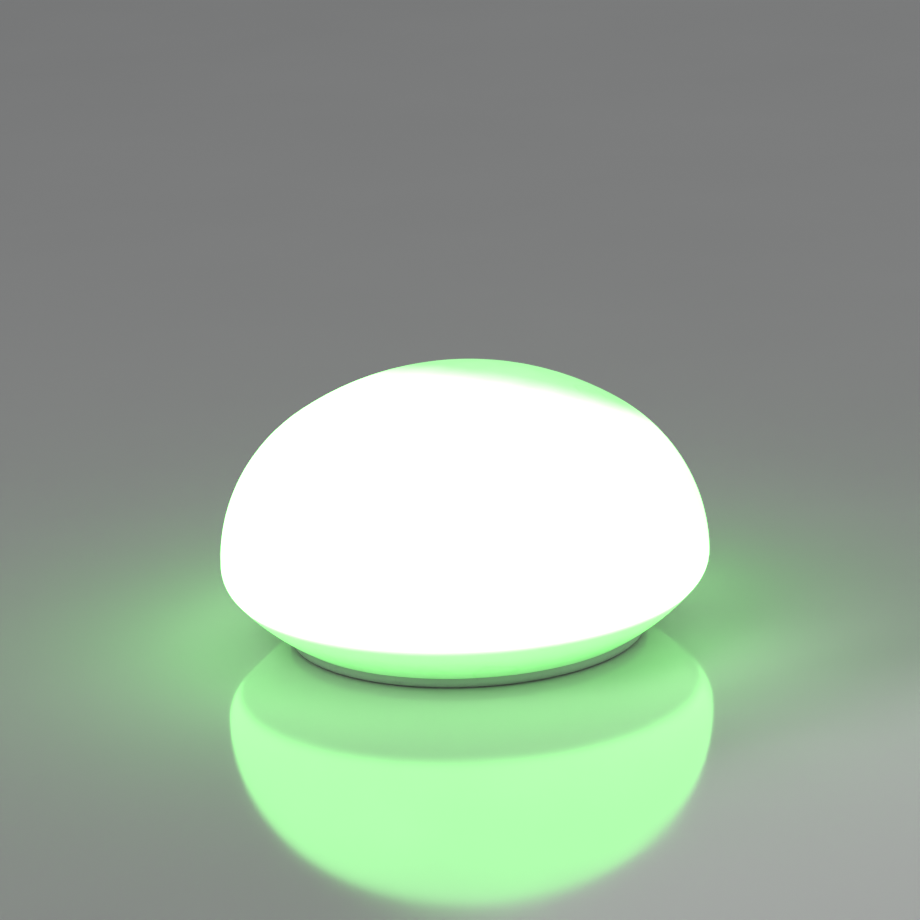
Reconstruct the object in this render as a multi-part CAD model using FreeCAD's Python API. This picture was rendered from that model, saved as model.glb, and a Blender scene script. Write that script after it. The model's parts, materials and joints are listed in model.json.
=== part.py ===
# Floating pool light: a seamless translucent float shell over a screwed-in base module.
#
# The shell is a bun-shaped float with a round opening underneath. The base module closes that
# opening against a gasket. It carries the battery well with its quick-thread cap, the LED board,
# a push button with its sealed switch, and a folding wire bail for a tether.
#
# Millimetres. +Z is up, the origin is the centre of the flat underside, which is Z = 0.

import FreeCAD, Part
import math
import os

os.makedirs("parts", exist_ok=True)

V = FreeCAD.Vector
X_AXIS = V(1, 0, 0)
Y_AXIS = V(0, 1, 0)
Z_AXIS = V(0, 0, 1)
ORIGIN = V(0, 0, 0)

# ---- float shell ----
R_WIDE = 90.0  # half of the float's diameter
Z_WIDE = 30.0  # height of the widest ring
DOME_H = 70.2  # widest ring to crown
R_SHOULDER = 61.7  # meridian radius of the dome's shoulder
R_TURN = 13.0  # meridian radius where the hull turns under
TURN_DEG = 40.0  # angle that the turn goes through before the flatter underside
R_HULL = 80.0  # meridian radius of the underside
WALL = 2.0
Z_SEAT = 4.0  # plane where the base module meets the shell
R_OPENING = 53.5  # opening in the shell's underside
SEAT_WALL = 2.2  # thickness of the shell's inward flange
GATE_R = 0.5  # small flat that the moulding gate leaves at the crown and in the button's dish

# ---- base screws and seal ----
N_SCREWS = 6
SCREW_PCD_R = 61.2
SCREW_PHASE = 30.0  # first screw's angle in degrees
SCREW_R = 1.5
SCREW_HEAD_R = 2.6
SCREW_HEAD_Z = (0.5, 2.5)
SCREW_TIP_Z = 10.0
BOSS_R = 4.0
BOSS_TOP = 13.5
INSERT_R = 2.3
INSERT_Z = (4.3, 10.3)
INSERT_WAIST = 0.6  # half height of the groove round an insert's middle
GASKET_R = 56.2  # centre line of the base gasket
GASKET_SECTION_R = 1.1

# ---- base plate and battery well ----
R_PLATE = 66.0
PLATE_EDGE_R = 2.4  # rounding of the plate's lower edge
SPIGOT_R = 53.2  # raised middle of the plate, which centres in the shell's opening
SPIGOT_Z = 5.2
BORE_R = 38.2
COLLAR_R = 41.4  # outside of the thick collar round the lug grooves
COLLAR_Z = 16.0
WELL_WALL = 2.0
WELL_TOP = 33.5
WELL_BEVEL = 1.8
CEILING_Z = WELL_TOP - WELL_WALL
RECESS_R = 41.5  # recess that the cap's flange sits in
RECESS_Z = 3.0
LEAD_IN = 0.6  # bevel at the bore's mouth
RIB_ANGLES = (30.0, -30.0, 120.0, -120.0, 155.0, -155.0)
RIB_TOP = 9.0
RIB_HALF = 0.8

# ---- battery cap ----
CAP_FLANGE_R = 41.1
CAP_FACE_Z = 0.4
CAP_EDGE_R = 0.8
FLANGE_GAP = 0.3  # between the shut cap and the floor of its recess
NECK_R = 37.9
NECK_TOP = 14.2
POCKET_R = 33.0
POCKET_TOP = 12.0
POCKET_CORNER_R = 5.0
POCKET_ROOF_R = 2.5
GRIP_HALF = 4.0  # half thickness of the grip bar
LEAD = 36.0  # axial travel of the cap in one full turn
N_LUGS = 3
LUG_ARC = 24.0  # degrees
LUG_H = 2.4
LUG_Z = 5.2  # bottom of a lug's low end when the cap is shut
LUG_R = 39.7
GROOVE_R = 40.0
GROOVE_GAP = 0.3
GROOVE_OVERRUN = 2.0  # degrees that a groove reaches past its lug at each end
CAP_TURN = 72.0  # degrees from shut to free
CAP_SEAL_R = 37.15  # centre line of the cap's O-ring
CAP_SEAL_SECTION_R = 1.0
CAP_SEAL_Z = 12.2

# ---- sunk marks on the underside ----
MARK_R = 51.6
MARK_DEPTH = 0.4
SHUT_MARK_DEG = 262.0
POINTER = ((39.8, 0.0), (37.0, 1.5), (37.0, -1.5))

# ---- batteries ----
CELL_R = 7.2
CELL_L = 49.3
CELL_EDGE_R = 0.8
NUB_R = 2.75
NUB_L = 1.2
CELL_PITCH = 15.3
CELL_XS = (-CELL_PITCH, 0.0, CELL_PITCH)
PLUS_SIDES = (1, -1, 1)  # the cells lie head to tail
CELL_Z = 23.3
TRAY_Z = 14.6
TRAY_FLOOR = 1.2
TRAY_HALF_X = CELL_PITCH + CELL_R + 0.9
TRAY_WALL_X = 0.8
TRAY_SIDE_TOP = 23.0
TRAY_END_T = 1.4
TRAY_END_TOP = 29.5
TRAY_R = 37.6  # the tray's corners are rounded to this so that it passes the bore
CONTACT_Y = 27.3  # inner face of the contact plates
CONTACT_T = 0.4
CONTACT_HALF_X = 5.0
SPRING_R = 3.2
SPRING_WIRE_R = 0.35
SPRING_TURNS = 3
GUIDE_GAP = 0.4  # between the tray's long sides and the guides in the well

# ---- contacts in the well's ceiling ----
RIVETS = ((-CELL_PITCH, 20.0), (CELL_PITCH, -20.0))
RIVET_R = 1.2
RIVET_FOOT_R = 1.9
RIVET_HEAD_H = 1.0
STRIP_T = 0.3
STRIP_HALF_X = 2.2

# ---- reflector and LED board ----
POST_TOP = 39.5  # underside of the reflector's flange
POST_R = 3.0
BOARD_SCREW_R = 26.0  # radius of the ring of board screws
BOARD_SCREW_ANGLES = (90.0, 210.0, 330.0)
BOARD_SCREW_SHANK_R = 1.0
BOARD_SCREW_TIP_Z = 35.2
REFLECTOR_T = 1.5
REFLECTOR_FLANGE_R = (22.0, 31.0)
REFLECTOR_EDGE = (52.6, 33.0)
BOARD_R = 30.0
BOARD_T = 1.6
BOARD_Z = POST_TOP + REFLECTOR_T
BOARD_TOP = BOARD_Z + BOARD_T
SOLDER_GAP = 0.02  # film between a component and the board
N_LEDS = 6
LED_PCD_R = 21.0
LED_SIZE = 5.0
LED_H = 1.5
LED_WELL_R = 1.9
LED_WELL_Z = 0.8
RESISTOR_PCD_R = 15.8
CHIP_CENTRE = (0.0, 4.0)
CHIP_PITCH = 1.27
CAPACITOR_CENTRE = (7.3, 5.3)
CAPACITOR_R = 3.1

# ---- push button and switch ----
BUTTON_X = -47.4  # the button lies on the -X side
BUTTON_FACE_Z = 0.6
BUTTON_R = 3.6
BUTTON_HOLE_R = 3.9
BUTTON_FLANGE_R = 4.2
BUTTON_FLANGE_Z = 4.6
BUTTON_FLANGE_T = 0.8
BUTTON_STEM_R = 1.6
TOWER_R = 5.2
SNAP_RING_R = 5.9
SNAP_RING_Z = 5.5
MEMBRANE_Z = 7.0
MEMBRANE_T = 0.6
MEMBRANE_NIB_Z = 7.8
SWITCH_BOARD_Z = 11.8
SWITCH_BOARD_T = 1.2
SWITCH_BOARD_HALF = (3.9, 10.5)
SWITCH_POST_Y = 8.7
SWITCH_POST_R = 1.9
SWITCH_SCREW_R = 0.8
SWITCH_HALF = 3.0
SWITCH_H = 2.9
PLUNGER_R = 1.5
PLUNGER_L = 2.1

# ---- tether bail ----
BAIL_R = 47.5  # centre line of the folded bail
BAIL_WIRE_R = 1.2
BAIL_Z = 1.7
BAIL_PIN_X = -2.6
BAIL_BEND_R = 3.0
BAIL_PIN_END = 53.2  # |y| at the tip of each pivot pin
BAIL_PIVOT_GAP = 0.1
CHANNEL_GAP = 0.5
SCOOP_REACH = 5.9  # how far the fingertip scoop reaches outwards from the bail's centre line
SCOOP_HALF = 8.0

# ---- wires and fits ----
WIRE_R = 0.65
SWITCH_WIRE_Y = 2.6
BATTERY_WIRE_HOLE = (-5.0, 10.0)
SWITCH_WIRE_HOLE_X = -13.0
WIRE_END_Z = BOARD_TOP + 0.8
FIT = 0.05  # radial gap of parts that are pressed or screwed together
TOUCH = 0.02  # gap between parts that rest against each other
PAST = 1.0  # how far a cutter runs past the face that it opens


# ---- helpers ------------------------------------------------------------------------------
def polar(radius, degrees, z=0.0):
    a = math.radians(degrees)
    return V(radius * math.cos(a), radius * math.sin(a), z)


def cylinder(radius, z0, z1, x=0.0, y=0.0):
    return Part.makeCylinder(radius, z1 - z0, V(x, y, z0), Z_AXIS)


def cylinder_at(radius, z0, z1, place):
    return cylinder(radius, z0, z1, place.x, place.y)


def ring(r_in, r_out, z0, z1, x=0.0, y=0.0):
    return cylinder(r_out, z0, z1, x, y).cut(cylinder(r_in, z0 - PAST, z1 + PAST, x, y))


def block(x0, x1, y0, y1, z0, z1):
    return Part.makeBox(x1 - x0, y1 - y0, z1 - z0, V(x0, y0, z0))


def ordered(a, b):
    return (a, b) if a < b else (b, a)


def turned(shape, degrees):
    """A copy of shape turned about the Z axis."""
    copy = shape.copy()
    copy.rotate(ORIGIN, Z_AXIS, degrees)
    return copy


def around(shape, count, phase=0.0):
    """count copies of shape, evenly spaced about the Z axis."""
    return [turned(shape, phase + 360.0 * i / count) for i in range(count)]


def at_angles(shape, angles):
    return [turned(shape, a) for a in angles]


def moved(shape, x, y):
    copy = shape.copy()
    copy.translate(V(x, y, 0))
    return copy


def line(p, q):
    return Part.LineSegment(V(p[0], 0, p[1]), V(q[0], 0, q[1])).toShape()


def on_circle(centre, radius, degrees):
    """The (r, z) point at an angle on a circle in the XZ plane."""
    a = math.radians(degrees)
    return (centre[0] + radius * math.cos(a), centre[1] + radius * math.sin(a))


def arc(centre, radius, from_deg, to_deg):
    """An arc in the XZ plane, as (r, z) about centre."""
    angles = (from_deg, (from_deg + to_deg) / 2, to_deg)
    points = [on_circle(centre, radius, a) for a in angles]
    return Part.Arc(*[V(r, 0, z) for r, z in points]).toShape()


def closed(points):
    """Straight (r, z) edges from point to point and back to the first."""
    return [line(p, q) for p, q in zip(points, points[1:] + points[:1])]


def revolved(edges):
    """The solid that a closed (r, z) outline sweeps about the Z axis."""
    return Part.Face(Part.Wire(edges)).revolve(ORIGIN, Z_AXIS, 360)


def union(shapes):
    return shapes[0].multiFuse(shapes[1:]).removeSplitter()


def without(shape, cutters):
    """shape with each cutter taken away in turn, as cutters may cross each other."""
    for cutter in cutters:
        shape = shape.cut(cutter)
    return shape


def edges_at(shape, z):
    return [e for e in shape.Edges if abs(e.CenterOfMass.z - z) < 0.01]


def cross_recess(reach, width, z0, z1):
    """Cutter for a cross-slotted screw head on the Z axis."""
    bar = block(-reach, reach, -width / 2, width / 2, z0, z1)
    return bar.fuse(turned(bar, 90))


def helical_band(r_in, r_out, z0, z1, start_deg, arc_deg):
    """A band of rectangular section that climbs round the Z axis with the cap's lead."""
    helix = Part.makeHelix(LEAD, LEAD * arc_deg / 360.0, (r_in + r_out) / 2)
    section = Part.Wire(closed([(r_in, z0), (r_out, z0), (r_out, z1), (r_in, z1)]))
    band = Part.Wire(helix.Edges).makePipeShell([section], True, True)
    return turned(band, start_deg)


def rounded_path(points):
    """Straight runs joined by tangent arcs, each as large as its two runs allow."""
    edges = []
    start = points[0]
    for before, corner, after in zip(points, points[1:], points[2:]):
        back = (before - corner).normalize()
        ahead = (after - corner).normalize()
        turn = math.pi - back.getAngle(ahead)
        setback = 0.45 * min((before - corner).Length, (after - corner).Length)
        radius = setback / math.tan(turn / 2)
        inward = (back + ahead).normalize()
        centre = corner + inward * (radius / math.cos(turn / 2))
        enter = corner + back * setback
        leave = corner + ahead * setback
        edges.append(Part.LineSegment(start, enter).toShape())
        edges.append(Part.Arc(enter, centre - inward * radius, leave).toShape())
        print(f"  wire arc radius {radius:.1f} mm, turn {math.degrees(turn):.0f} deg")
        start = leave
    edges.append(Part.LineSegment(start, points[-1]).toShape())
    return Part.Wire(edges)


def tube(path, radius):
    """A round bar along a path, with its volume checked against section times length."""
    first = path.Edges[0]
    start = first.firstVertex(True).Point
    section = Part.Wire(Part.makeCircle(radius, start, first.tangentAt(first.FirstParameter)))
    bar = path.makePipeShell([section], True, False)
    excess = bar.Volume / (math.pi * radius**2 * path.Length) - 1
    print(f"  tube {path.Length:.1f} mm, volume off by {100 * excess:.2f} %")
    return bar


def save(name, solids):
    """Writes one node. solids is one shape or a list of separate ones."""
    shapes = solids if isinstance(solids, list) else [solids]
    found = [s for shape in shapes for s in shape.Solids]
    for s in found:
        if not s.isValid() or s.Volume <= 0:
            raise ValueError(f"{name} holds a bad solid")
    out = found[0] if len(found) == 1 else Part.makeCompound(found)
    out.exportStep(os.path.join("parts", name + ".step"))
    print(f"{name}: {len(found)} solid(s), {sum(s.Volume for s in found) / 1000:.2f} cm3")


# ---- float shell --------------------------------------------------------------------------
def hull_outline(inset):
    """The float's outline from the crown down to its seat flange, moved inwards by inset.

    Returns its edges, its point on the Z axis and its lowest point.
    """
    flat = R_WIDE - R_SHOULDER
    crown_r = (flat**2 + DOME_H**2 - R_SHOULDER**2) / (2 * (DOME_H - R_SHOULDER))
    crown_centre = (0.0, Z_WIDE + DOME_H - crown_r)
    join = math.degrees(math.atan2(crown_r - DOME_H, flat))
    turn_centre = (R_WIDE - R_TURN, Z_WIDE)
    hull_centre = on_circle(turn_centre, R_TURN - R_HULL, -TURN_DEG)
    hull_r = R_HULL - inset
    end_z = Z_SEAT if inset == 0 else Z_SEAT + SEAT_WALL
    end_deg = math.degrees(math.asin((end_z - hull_centre[1]) / hull_r))
    gate_deg = math.degrees(math.acos(GATE_R / (crown_r - inset)))
    gate = on_circle(crown_centre, crown_r - inset, gate_deg)
    crown = (0.0, gate[1])
    edges = [
        line(crown, gate),
        arc(crown_centre, crown_r - inset, gate_deg, join),
        arc((flat, Z_WIDE), R_SHOULDER - inset, join, 0.0),
        arc(turn_centre, R_TURN - inset, 0.0, -TURN_DEG),
        arc(hull_centre, hull_r, -TURN_DEG, end_deg),
    ]
    return edges, crown, on_circle(hull_centre, hull_r, end_deg)


def float_shell():
    """One seamless moulding: dome, turned-under hull and the flange that the base bolts to."""
    outer, crown_out, seat_out = hull_outline(0.0)
    inner, crown_in, seat_in = hull_outline(WALL)
    flange_low = (R_OPENING, Z_SEAT)
    flange_high = (R_OPENING, Z_SEAT + SEAT_WALL)
    flange = [line(seat_out, flange_low), line(flange_low, flange_high), line(flange_high, seat_in)]
    skin = revolved(outer + flange + inner[::-1] + [line(crown_in, crown_out)])
    boss = cylinder(BOSS_R, Z_SEAT + 1.0, BOSS_TOP, SCREW_PCD_R)
    pocket = cylinder(INSERT_R + FIT, Z_SEAT - PAST, BOSS_TOP - WALL, SCREW_PCD_R)
    shell = union([skin] + around(boss, N_SCREWS, SCREW_PHASE))
    return without(shell, around(pocket, N_SCREWS, SCREW_PHASE))


# ---- fasteners and seal of the base ---------------------------------------------------------
def threaded_inserts():
    """Brass inserts in the shell's bosses, with two knurled bands parted by a groove."""
    body = ring(SCREW_R + FIT, INSERT_R, *INSERT_Z, SCREW_PCD_R)
    middle = sum(INSERT_Z) / 2
    waist = (middle - INSERT_WAIST, middle + INSERT_WAIST)
    body = body.cut(ring(INSERT_R - 0.3, INSERT_R + PAST, *waist, SCREW_PCD_R))
    return around(body, N_SCREWS, SCREW_PHASE)


def base_screws():
    """Pan-head machine screws that pull the base plate up against the shell."""
    face, seat = SCREW_HEAD_Z
    head = cylinder(SCREW_HEAD_R, face, seat)
    head = head.makeFillet(0.8, edges_at(head, face))
    shank = cylinder(SCREW_R, seat - 0.5, SCREW_TIP_Z)
    screw = head.fuse(shank).cut(cross_recess(1.5, 0.7, face - PAST, face + 1.1)).removeSplitter()
    return around(moved(screw, SCREW_PCD_R, 0), N_SCREWS, SCREW_PHASE)


def base_gasket():
    """Round-section seal between the base plate and the shell, drawn as squeezed to its groove."""
    return Part.makeTorus(GASKET_R, GASKET_SECTION_R, V(0, 0, Z_SEAT - GASKET_SECTION_R - TOUCH))


# ---- base plate with the battery well -------------------------------------------------------
def plate_body():
    """The plate, its raised middle, the collar and the closed battery well, in one outline."""
    well_r = BORE_R + WELL_WALL
    points = [
        (R_PLATE, PLATE_EDGE_R),
        (R_PLATE, Z_SEAT),
        (SPIGOT_R, Z_SEAT),
        (SPIGOT_R, SPIGOT_Z),
        (COLLAR_R, SPIGOT_Z),
        (COLLAR_R, COLLAR_Z),
        (well_r, COLLAR_Z + 1.2),
        (well_r, WELL_TOP - WELL_BEVEL),
        (well_r - WELL_BEVEL, WELL_TOP),
        (0, WELL_TOP),
        (0, CEILING_Z),
        (BORE_R, CEILING_Z),
        (BORE_R, RECESS_Z + LEAD_IN),
        (BORE_R + LEAD_IN, RECESS_Z),
        (RECESS_R, RECESS_Z),
        (RECESS_R, 0),
        (R_PLATE - PLATE_EDGE_R, 0),
    ]
    edges = [line(p, q) for p, q in zip(points, points[1:])]
    edge_centre = (R_PLATE - PLATE_EDGE_R, PLATE_EDGE_R)
    return revolved(edges + [arc(edge_centre, PLATE_EDGE_R, -90.0, 0.0)])


def tray_guides():
    """Upright ribs in the well that stop the battery tray from turning with the cap."""
    x0 = TRAY_HALF_X + GUIDE_GAP
    within = cylinder(BORE_R + FIT, NECK_TOP, WELL_TOP)
    guides = []
    for sx in (-1, 1):
        for sy in (-1, 1):
            xs = ordered(sx * x0, sx * (x0 + 6.0))
            ys = ordered(sy * 24.5, sy * 26.5)
            guides.append(block(*xs, *ys, NECK_TOP + 1.8, CEILING_Z + FIT).common(within))
    return guides


def lug_grooves():
    """Helical grooves in the collar that the cap's lugs climb, open at the mouth."""
    run_out = CAP_TURN + GROOVE_OVERRUN
    drop = LEAD * run_out / 360.0
    low = LUG_Z - GROOVE_GAP - drop
    high = LUG_Z + LUG_H + GROOVE_GAP - drop
    span = run_out + LUG_ARC + GROOVE_OVERRUN
    groove = helical_band(BORE_R - 0.8, GROOVE_R, low, high, -run_out, span)
    below = cylinder(RECESS_R + PAST, low - 5, RECESS_Z - 0.2)
    return around(groove.cut(below), N_LUGS)


def bail_channel():
    """Cutters for the folded bail's channel, its pivot pockets and holes, and a scoop."""
    half = BAIL_WIRE_R + CHANNEL_GAP
    depth = BAIL_Z + half
    channel = ring(BAIL_R - half, BAIL_R + half, -PAST, depth)
    cutters = [channel.cut(block(-R_PLATE, 0, -R_PLATE, R_PLATE, -2 * PAST, depth + PAST))]
    for side in (-1, 1):
        ys = ordered(side * (BAIL_R - half - 1.2), side * (BAIL_R + half + 1.6))
        cutters.append(block(BAIL_PIN_X - 2.2, 9.0, *ys, -PAST, depth))
        hole = Part.makeCylinder(
            BAIL_WIRE_R + BAIL_PIVOT_GAP,
            BAIL_PIN_END + 0.4 - BAIL_R,
            V(BAIL_PIN_X, side * BAIL_R, BAIL_Z),
            V(0, side, 0),
        )
        cutters.append(hole)
    scoop = block(BAIL_R, BAIL_R + SCOOP_REACH, -SCOOP_HALF, SCOOP_HALF, -PAST, depth)
    outer = [e for e in edges_at(scoop, (depth - PAST) / 2) if e.CenterOfMass.x > BAIL_R + 1]
    cutters.append(scoop.makeFillet(3.0, outer))
    return cutters


def cap_marks():
    """Sunk marks: a dot where the cap is shut, a ring where it is free, and a track between."""
    free_deg = SHUT_MARK_DEG - CAP_TURN
    shut = cylinder_at(1.0, -PAST, MARK_DEPTH, polar(MARK_R, SHUT_MARK_DEG))
    place = polar(MARK_R, free_deg)
    free = ring(0.7, 1.2, -PAST, MARK_DEPTH, place.x, place.y)
    track = ring(MARK_R - 0.25, MARK_R + 0.25, -PAST, MARK_DEPTH)
    wedge = Part.makeCylinder(MARK_R + 2, 4, V(0, 0, -2), Z_AXIS, CAP_TURN - 10.0)
    return [shut, free, track.common(turned(wedge, free_deg + 5.0))]


def plate_additions():
    """What stands on the plate and the well: button tower, screw posts, ribs and tray guides."""
    tower = cylinder(TOWER_R, 2.0, MEMBRANE_Z, BUTTON_X)
    board_post = cylinder(POST_R, WELL_TOP - 0.5, POST_TOP, BOARD_SCREW_R)
    switch_posts = [
        cylinder(SWITCH_POST_R, SPIGOT_Z - 0.5, SWITCH_BOARD_Z, BUTTON_X, y)
        for y in (-SWITCH_POST_Y, SWITCH_POST_Y)
    ]
    rib = block(COLLAR_R - 0.5, SPIGOT_R - 1.2, -RIB_HALF, RIB_HALF, SPIGOT_Z - 0.5, RIB_TOP)
    upright = at_angles(board_post, BOARD_SCREW_ANGLES) + switch_posts
    return [tower] + upright + at_angles(rib, RIB_ANGLES) + tray_guides()


def plate_holes():
    """Screw holes, the gasket groove, the rivet holes and the button's stepped bore."""
    through = cylinder(SCREW_R + 0.2, -PAST, Z_SEAT + PAST, SCREW_PCD_R)
    counterbore = cylinder(SCREW_HEAD_R + 0.3, -PAST, SCREW_HEAD_Z[1] + FIT, SCREW_PCD_R)
    half = GASKET_SECTION_R + 0.06
    groove_z = Z_SEAT - 2 * GASKET_SECTION_R - 2 * TOUCH
    board_pilot = cylinder(BOARD_SCREW_SHANK_R, WELL_TOP + 0.8, POST_TOP + PAST, BOARD_SCREW_R)
    cutters = around(through, N_SCREWS, SCREW_PHASE)
    cutters += around(counterbore, N_SCREWS, SCREW_PHASE)
    cutters.append(ring(GASKET_R - half, GASKET_R + half, groove_z, Z_SEAT + PAST))
    cutters += at_angles(board_pilot, BOARD_SCREW_ANGLES)
    for y in (-SWITCH_POST_Y, SWITCH_POST_Y):
        cutters.append(
            cylinder(SWITCH_SCREW_R, SPIGOT_Z + PAST, SWITCH_BOARD_Z + PAST, BUTTON_X, y)
        )
    cutters += [cylinder(RIVET_R + FIT, CEILING_Z - PAST, WELL_TOP + PAST, x, y) for x, y in RIVETS]
    cutters.append(cylinder(TOWER_R, -PAST, 0.5, BUTTON_X))
    cutters.append(cylinder(BUTTON_HOLE_R, -PAST, MEMBRANE_Z + PAST, BUTTON_X))
    flange_bore = BUTTON_FLANGE_R + 0.3
    cutters.append(cylinder(flange_bore, BUTTON_FLANGE_Z - FIT, MEMBRANE_Z + PAST, BUTTON_X))
    return cutters


def base_plate():
    plate = union([plate_body()] + plate_additions())
    return without(plate, lug_grooves() + bail_channel() + plate_holes() + cap_marks())


# ---- battery cap ------------------------------------------------------------------------
def finger_pockets():
    """The two rounded hollows on either side of the grip bar."""
    low = CAP_FACE_Z - PAST
    bar = block(-GRIP_HALF, GRIP_HALF, -POCKET_R - PAST, POCKET_R + PAST, low - PAST, NECK_TOP)
    pockets = []
    for half in cylinder(POCKET_R, low, POCKET_TOP).cut(bar).Solids:
        tall = POCKET_TOP - low
        corners = [e for e in half.Edges if abs(e.Length - tall) < 0.01 and not e.Closed]
        half = half.makeFillet(POCKET_CORNER_R, corners)
        pockets.append(half.makeFillet(POCKET_ROOF_R, edges_at(half, POCKET_TOP)))
    return pockets


def battery_cap():
    """Quick-thread cap with a grip bar between two finger pockets and three helical lugs."""
    flange_top = RECESS_Z - FLANGE_GAP
    points = [
        (CAP_FLANGE_R, CAP_FACE_Z + CAP_EDGE_R),
        (CAP_FLANGE_R, flange_top),
        (NECK_R, flange_top),
        (NECK_R, NECK_TOP - 1.0),
        (NECK_R - 1.0, NECK_TOP),
        (0, NECK_TOP),
        (0, CAP_FACE_Z),
        (CAP_FLANGE_R - CAP_EDGE_R, CAP_FACE_Z),
    ]
    edge_centre = (CAP_FLANGE_R - CAP_EDGE_R, CAP_FACE_Z + CAP_EDGE_R)
    edges = [line(p, q) for p, q in zip(points, points[1:])]
    cap = revolved(edges + [arc(edge_centre, CAP_EDGE_R, -90.0, 0.0)])
    seal_half = CAP_SEAL_SECTION_R + 0.1
    seal_floor = CAP_SEAL_R - CAP_SEAL_SECTION_R - FIT
    seal_groove = ring(seal_floor, NECK_R + PAST, CAP_SEAL_Z - seal_half, CAP_SEAL_Z + seal_half)
    corners = [V(x, y, 0) for x, y in POINTER + POINTER[:1]]
    arrow = Part.Face(Part.makePolygon(corners)).extrude(V(0, 0, CAP_FACE_Z + MARK_DEPTH))
    cap = without(cap, [seal_groove, turned(arrow, SHUT_MARK_DEG)] + finger_pockets())
    lug = helical_band(NECK_R - 0.6, LUG_R, LUG_Z, LUG_Z + LUG_H, 0.0, LUG_ARC)
    return union([cap] + around(lug, N_LUGS))


def cap_seal():
    return Part.makeTorus(CAP_SEAL_R, CAP_SEAL_SECTION_R, V(0, 0, CAP_SEAL_Z))


# ---- batteries ----------------------------------------------------------------------------
def battery_cell(x, plus_side):
    """One AA cell lying along Y, with its positive nub towards plus_side."""
    plus_end = plus_side * CONTACT_Y
    inward = V(0, -plus_side, 0)
    nub = Part.makeCylinder(NUB_R, NUB_L + 0.5, V(x, plus_end, CELL_Z), inward)
    can = Part.makeCylinder(CELL_R, CELL_L, V(x, plus_end - plus_side * NUB_L, CELL_Z), inward)
    rims = [e for e in can.Edges if e.Closed]
    return can.makeFillet(CELL_EDGE_R, rims).fuse(nub).removeSplitter()


def battery_tray():
    """Open cradle for three cells with walls at both ends and low ribs between the cells."""
    end_in = CONTACT_Y + CONTACT_T
    end_out = end_in + TRAY_END_T
    floor_top = TRAY_Z + TRAY_FLOOR
    pieces = [block(-TRAY_HALF_X, TRAY_HALF_X, -end_out, end_out, TRAY_Z, floor_top)]
    for side in (-1, 1):
        ends = ordered(side * end_in, side * end_out)
        pieces.append(block(-TRAY_HALF_X, TRAY_HALF_X, *ends, TRAY_Z, TRAY_END_TOP))
        long_side = ordered(side * (TRAY_HALF_X - TRAY_WALL_X), side * TRAY_HALF_X)
        pieces.append(block(*long_side, -end_out, end_out, TRAY_Z, TRAY_SIDE_TOP))
        rib_x = side * CELL_PITCH / 2
        pieces.append(block(rib_x - 0.25, rib_x + 0.25, -24, 24, TRAY_Z, CELL_Z - 4.3))
    tray = union(pieces).common(cylinder(TRAY_R, TRAY_Z - PAST, TRAY_END_TOP + PAST))
    windows = [block(x - 4, x + 4, -12, 12, TRAY_Z - PAST, floor_top + TOUCH) for x in CELL_XS]
    return without(tray, windows)


def contact_plates():
    """Four sprung-steel plates: two join neighbouring cells and two are the tray's terminals."""
    z0 = TRAY_Z + TRAY_FLOOR + 1.0
    z1 = TRAY_END_TOP - 0.5
    tab_top = TRAY_END_TOP + CONTACT_T
    plates = []
    for side, spans in ((1, ((0, 0), (1, 2))), (-1, ((0, 1), (2, 2)))):
        thick = ordered(side * CONTACT_Y, side * (CONTACT_Y + CONTACT_T))
        for first, last in spans:
            xs = (CELL_XS[first] - CONTACT_HALF_X, CELL_XS[last] + CONTACT_HALF_X)
            plate = block(*xs, *thick, z0, z1)
            if first == last:
                x = CELL_XS[first]
                riser = block(x - 2.5, x + 2.5, *thick, z1 - 1, tab_top)
                over = ordered(side * CONTACT_Y, side * (CONTACT_Y + 1.6))
                tab = block(x - 2.5, x + 2.5, *over, TRAY_END_TOP, tab_top)
                plate = union([plate, riser, tab])
            plates.append(plate)
    return plates


def coil_path(pitch, half_turns, radius):
    """A helix about the Z axis as a wire of half turns."""
    edges = []
    for i in range(half_turns):
        half_turn = turned(Part.makeHelix(pitch, pitch / 2, radius), 180 * i)
        half_turn.translate(V(0, 0, i * pitch / 2))
        edges += half_turn.Edges
    return Part.Wire(edges)


def contact_springs():
    """Coil springs that press each cell's flat end."""
    length = 2 * CONTACT_Y - CELL_L - NUB_L - 2 * FIT
    pitch = (length - 2 * SPRING_WIRE_R) / SPRING_TURNS
    section = Part.Wire([Part.makeCircle(SPRING_WIRE_R, V(SPRING_R, 0, 0), Y_AXIS)])
    coil = coil_path(pitch, 2 * SPRING_TURNS, SPRING_R).makePipeShell([section], True, True)
    coil.rotate(ORIGIN, X_AXIS, -90)
    coil.translate(V(0, -(CONTACT_Y - SPRING_WIRE_R - TOUCH), CELL_Z))
    return [moved(turned(coil, 90 - 90 * side), x, 0) for x, side in zip(CELL_XS, PLUS_SIDES)]


def well_contacts():
    """Two sprung strips under the well's ceiling that touch the tray's terminal tabs."""
    top = CEILING_Z - TOUCH
    tab_z = TRAY_END_TOP + CONTACT_T + 0.1
    strips = []
    for x, y in RIVETS:
        side = math.copysign(1, y)
        outline = [
            (17.5, top),
            (24.0, top),
            (27.0, tab_z + STRIP_T),
            (28.6, tab_z + 0.4 + STRIP_T),
            (28.6, tab_z + 0.4),
            (27.0, tab_z),
            (23.9, top - STRIP_T),
            (17.5, top - STRIP_T),
        ]
        corners = [V(x - STRIP_HALF_X, side * y, z) for y, z in outline]
        strip = Part.Face(Part.makePolygon(corners + corners[:1])).extrude(V(2 * STRIP_HALF_X, 0, 0))
        strips.append(strip.cut(cylinder(RIVET_R + FIT, top - PAST, WELL_TOP, x, y)))
    return strips


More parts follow.
